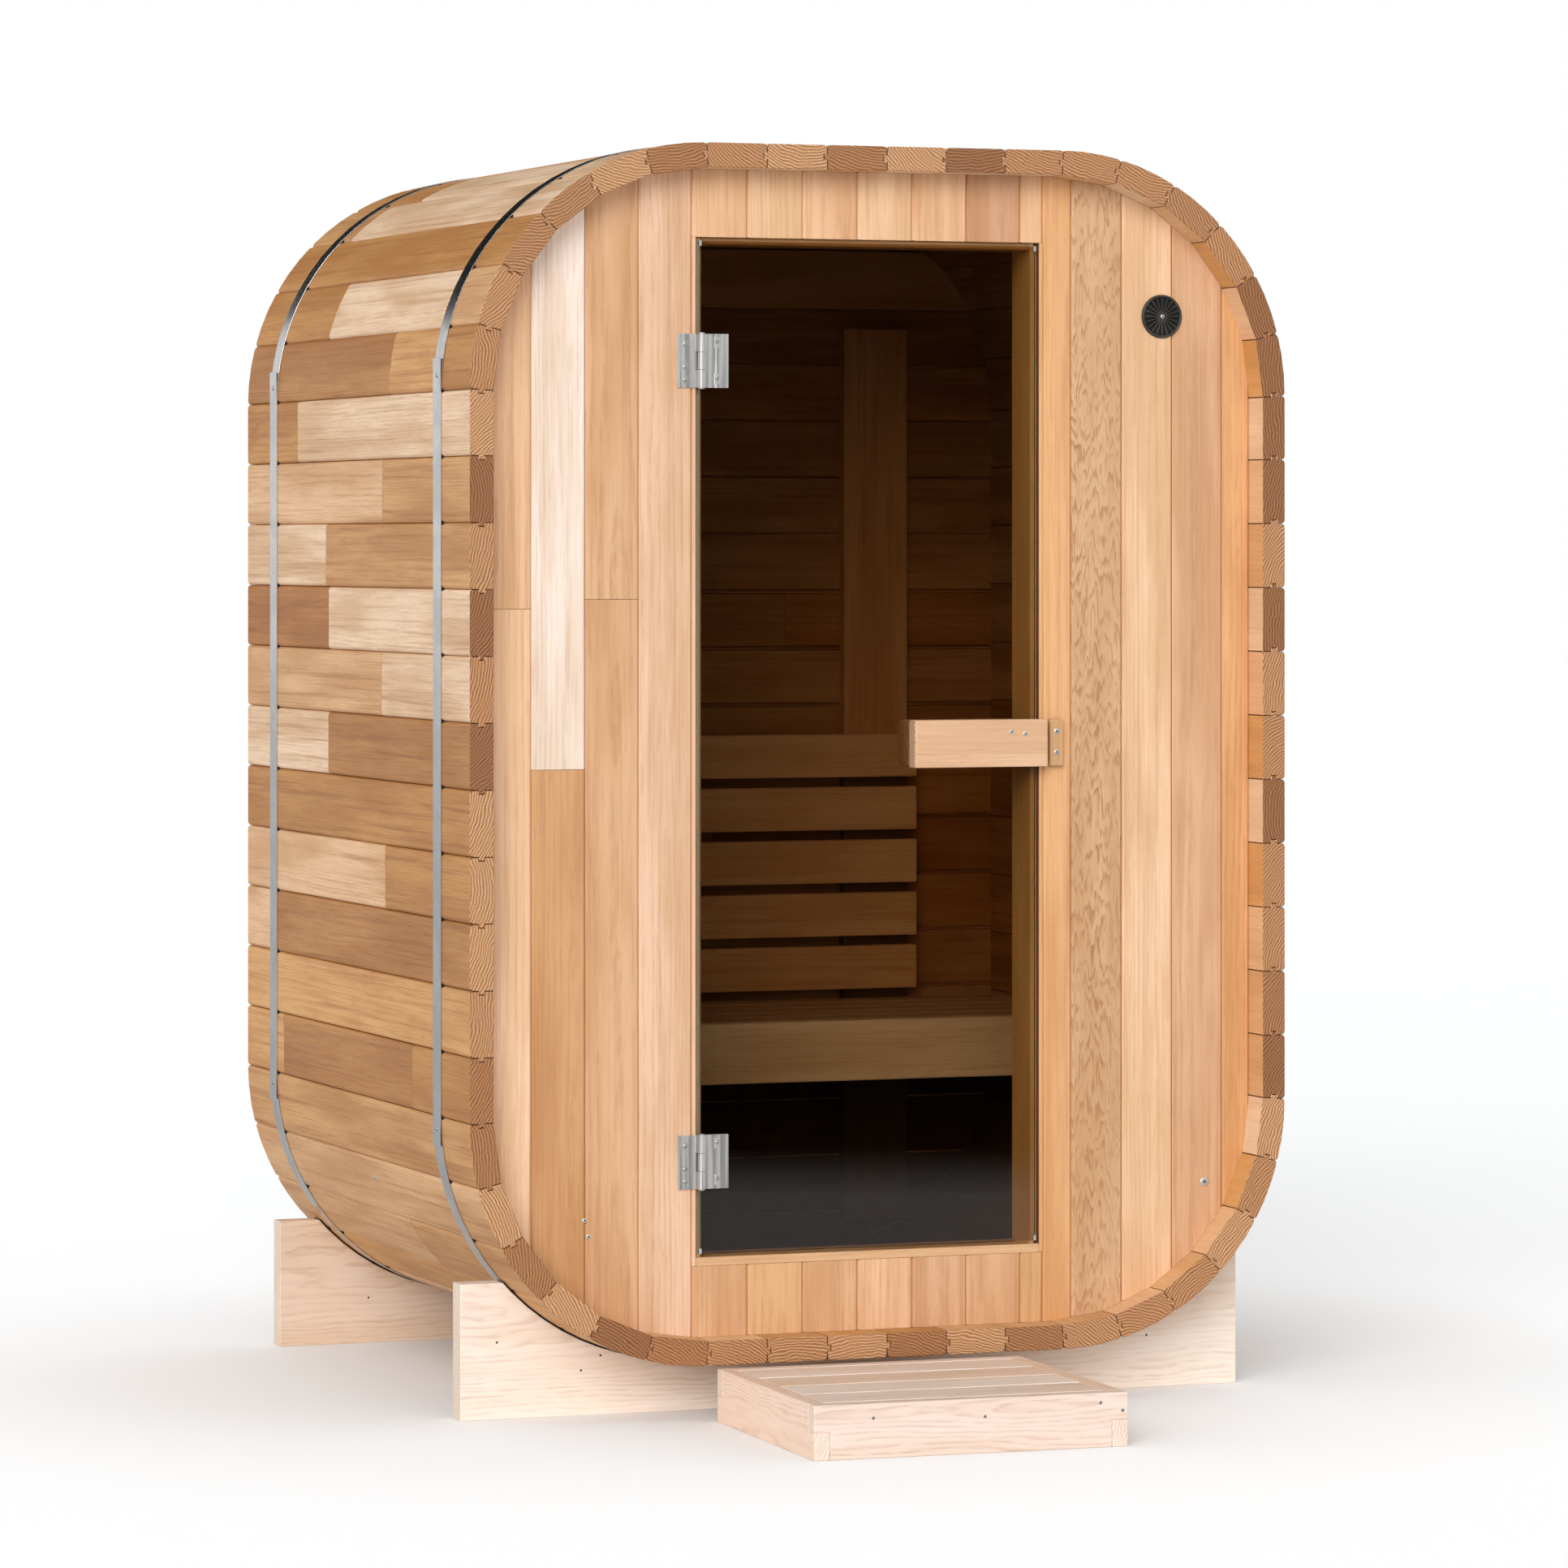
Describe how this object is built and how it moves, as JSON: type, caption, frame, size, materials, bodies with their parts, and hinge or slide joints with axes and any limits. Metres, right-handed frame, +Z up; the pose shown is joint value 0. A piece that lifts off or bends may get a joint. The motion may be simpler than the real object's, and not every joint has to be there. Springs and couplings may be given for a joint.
{
  "type": "cube sauna",
  "caption": "Box-shaped outdoor sauna with round corners: hooped timber staves on cradles, glass door, bench inside, and a loose wooden step in front.",
  "frame": {"origin": "on the ground, in the middle of the box that holds the sauna and its step", "axes": "+Z up, the door faces -Y, +X to the right of someone facing the door"},
  "size_m": [1.5034, 1.882, 2.1697],
  "materials": {
    "stave_wood": "oiled",
    "wall_wood": "oiled",
    "frame_wood": "oiled",
    "spruce": "planed",
    "hoop_steel": "satin",
    "hinge_steel": "satin",
    "bearing_rubber": "matt",
    "vent_plastic": "matt",
    "bronze_glass": "polished"
  },
  "bodies": {
    "cabin": {"roof_staves": "stave_wood", "floor_staves": "stave_wood", "left_wall_staves": "stave_wood", "right_wall_staves": "stave_wood", "top_left_corner_staves": "stave_wood", "top_right_corner_staves": "stave_wood", "bottom_left_corner_staves": "stave_wood", "bottom_right_corner_staves": "stave_wood", "front_hoop": "hoop_steel", "back_hoop": "hoop_steel", "front_cradle": "spruce", "back_cradle": "spruce", "front_cradle_strip": "bearing_rubber", "back_cradle_strip": "bearing_rubber", "front_wall_left": "wall_wood", "front_wall_right": "wall_wood", "front_wall_over_door": "wall_wood", "front_wall_under_door": "wall_wood", "door_jamb_left": "frame_wood", "door_jamb_right": "frame_wood", "door_head": "frame_wood", "door_sill": "frame_wood", "upper_hinge_wall_leaf": "hinge_steel", "lower_hinge_wall_leaf": "hinge_steel", "upper_hinge_pin": "hinge_steel", "lower_hinge_pin": "hinge_steel", "catch_block": "frame_wood", "vent_cover": "vent_plastic", "back_wall_boards": "wall_wood", "back_wall_uprights": "spruce", "back_wall_header": "spruce", "bench_slats": "spruce", "bench_fascia": "spruce", "bench_bearers": "spruce", "backrest_slats": "spruce", "step_front_board": "spruce", "step_back_board": "spruce", "step_side_boards": "spruce", "step_slats": "spruce", "step_bearers": "spruce"},
    "door": {"door_glass": "bronze_glass", "door_handle_outside": "frame_wood", "door_handle_inside": "frame_wood", "upper_hinge_glass_leaf": "hinge_steel", "lower_hinge_glass_leaf": "hinge_steel"}
  },
  "joints": [
    {"name": "door_hinge", "type": "hinge", "parent": "cabin", "child": "door", "pos_m": [-0.32, -0.35902, 1.1165], "axis": [0, 0, -1], "range_deg": [0, 110]}
  ]
}
